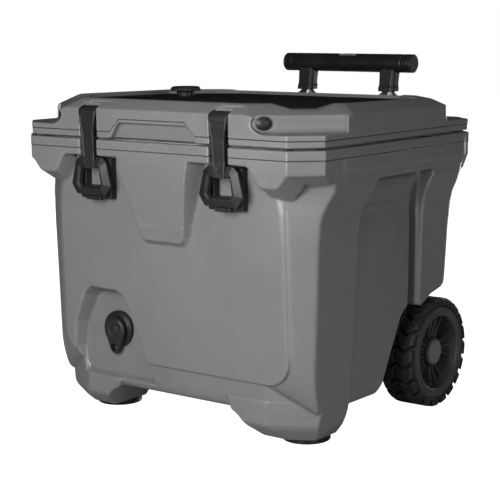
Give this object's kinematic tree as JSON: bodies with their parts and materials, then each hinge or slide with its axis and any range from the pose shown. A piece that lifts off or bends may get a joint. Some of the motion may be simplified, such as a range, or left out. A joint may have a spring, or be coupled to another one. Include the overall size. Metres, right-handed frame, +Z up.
{
  "type": "wheeled cooler",
  "caption": "Box-shaped insulated cooler with a latched hinged lid, telescoping pull handle, drain plug, feet under the front and wheels at the back.",
  "frame": {"origin": "middle of the bounding box's underside, on the floor", "axes": "+X to the right of the latched front face, +Y to the handle side, +Z up"},
  "size_m": [0.55, 0.5372, 0.5441],
  "materials": {
    "shell": "satin",
    "liner": "satin",
    "foam": "matte",
    "hardware": "satin",
    "rubber": "matte",
    "pad": "matte",
    "steel": "satin",
    "anodised": "satin",
    "grip": "matte",
    "button": "satin",
    "tyre": "matte",
    "rim": "satin",
    "hub": "satin"
  },
  "bodies": {
    "tub": {"tub_shell": "shell", "tub_foam": "foam", "tub_liner": "liner", "foot_left": "rubber", "foot_right": "rubber", "drain_fitting": "hardware", "keeper_left": "hardware", "keeper_right": "hardware", "lock_plate_left": "steel", "lock_plate_right": "steel", "sleeve_left": "anodised", "sleeve_right": "anodised", "handle_yoke": "hardware", "handle_base": "hardware", "axle": "steel", "axle_clamp_left": "hardware", "axle_clamp_right": "hardware", "hinge_tub_left": "hardware", "hinge_tub_right": "hardware", "hinge_pin_left": "steel", "hinge_pin_right": "steel"},
    "lid": {"lid_shell": "shell", "lid_foam": "foam", "lid_liner": "liner", "lid_gasket": "rubber", "lid_pad": "pad", "plug_front_left": "hardware", "plug_front_right": "hardware", "plug_rear_left": "hardware", "plug_rear_right": "hardware", "latch_pin_left": "steel", "latch_pin_right": "steel", "hinge_lid_left": "hardware", "hinge_lid_right": "hardware", "release_seat": "hardware"},
    "latch_left": {"latch_strap_left": "rubber", "latch_ring_left": "hardware"},
    "latch_right": {"latch_strap_right": "rubber", "latch_ring_right": "hardware"},
    "release_lifter": {"release_seal": "rubber"},
    "release_turner": {"release_knob": "hardware"},
    "drain_slider": {"drain_gasket": "rubber"},
    "drain_screw": {"drain_plug": "hardware"},
    "handle_mid": {"mid_tube_left": "anodised", "mid_tube_right": "anodised"},
    "handle_head": {"top_tube_left": "anodised", "top_tube_right": "anodised", "grip_leg_left": "grip", "grip_leg_right": "grip", "grip_bar": "grip", "grip_cap_left": "grip", "grip_cap_right": "grip"},
    "handle_button": {"grip_button": "button"},
    "wheel_left": {"tyre_left": "tyre", "rim_left": "rim", "hub_cap_left": "hub"},
    "wheel_right": {"tyre_right": "tyre", "rim_right": "rim", "hub_cap_right": "hub"}
  },
  "joints": [
    {"name": "lid_open", "type": "hinge", "parent": "tub", "child": "lid", "pos_m": [0, 0.21493, 0.4315], "axis": [-1, 0, 0], "range_deg": [0, 58]},
    {"name": "latch_left_swing", "type": "hinge", "parent": "lid", "child": "latch_left", "pos_m": [-0.1215, -0.24807, 0.4705], "axis": [-1, 0, 0], "range_deg": [0, 105]},
    {"name": "latch_right_swing", "type": "hinge", "parent": "lid", "child": "latch_right", "pos_m": [0.1215, -0.24807, 0.4705], "axis": [-1, 0, 0], "range_deg": [0, 105]},
    {"name": "release_lift", "type": "slide", "parent": "lid", "child": "release_lifter", "axis": [0, 0, 1], "range_m": [0, 0.004]},
    {"name": "release_turn", "type": "hinge", "parent": "release_lifter", "child": "release_turner", "pos_m": [-0.162, 0.01743, 0.4795], "axis": [0, 0, 1], "range_deg": [0, 180]},
    {"name": "drain_travel", "type": "slide", "parent": "tub", "child": "drain_slider", "axis": [0, -1, 0], "range_m": [0, 0.012]},
    {"name": "drain_turn", "type": "hinge", "parent": "drain_slider", "child": "drain_screw", "pos_m": [-0.117, -0.20217, 0.137], "axis": [0, -1, 0], "range_deg": [0, 720]},
    {"name": "handle_mid_slide", "type": "slide", "parent": "tub", "child": "handle_mid", "axis": [0, 0.1219, 0.9925], "range_m": [0, 0.22]},
    {"name": "handle_head_slide", "type": "slide", "parent": "handle_mid", "child": "handle_head", "axis": [0, 0.1219, 0.9925], "range_m": [0, 0.22]},
    {"name": "button_press", "type": "slide", "parent": "handle_head", "child": "handle_button", "axis": [0, 0, -1], "range_m": [0, 0.003], "stiffness_N_per_m": 400, "springref_m": -0.002},
    {"name": "wheel_left_spin", "type": "hinge", "parent": "tub", "child": "wheel_left", "pos_m": [-0.215, 0.13644, 0.086], "axis": [1, 0, 0], "continuous": true},
    {"name": "wheel_right_spin", "type": "hinge", "parent": "tub", "child": "wheel_right", "pos_m": [0.215, 0.13644, 0.086], "axis": [1, 0, 0], "continuous": true}
  ],
  "couplings": [
    {"joint": "release_lift", "follows": "release_turn", "m_per_rad": 0.0012732},
    {"joint": "drain_travel", "follows": "drain_turn", "m_per_rad": 0.00095493},
    {"joint": "handle_head_slide", "follows": "handle_mid_slide", "ratio": 1}
  ]
}
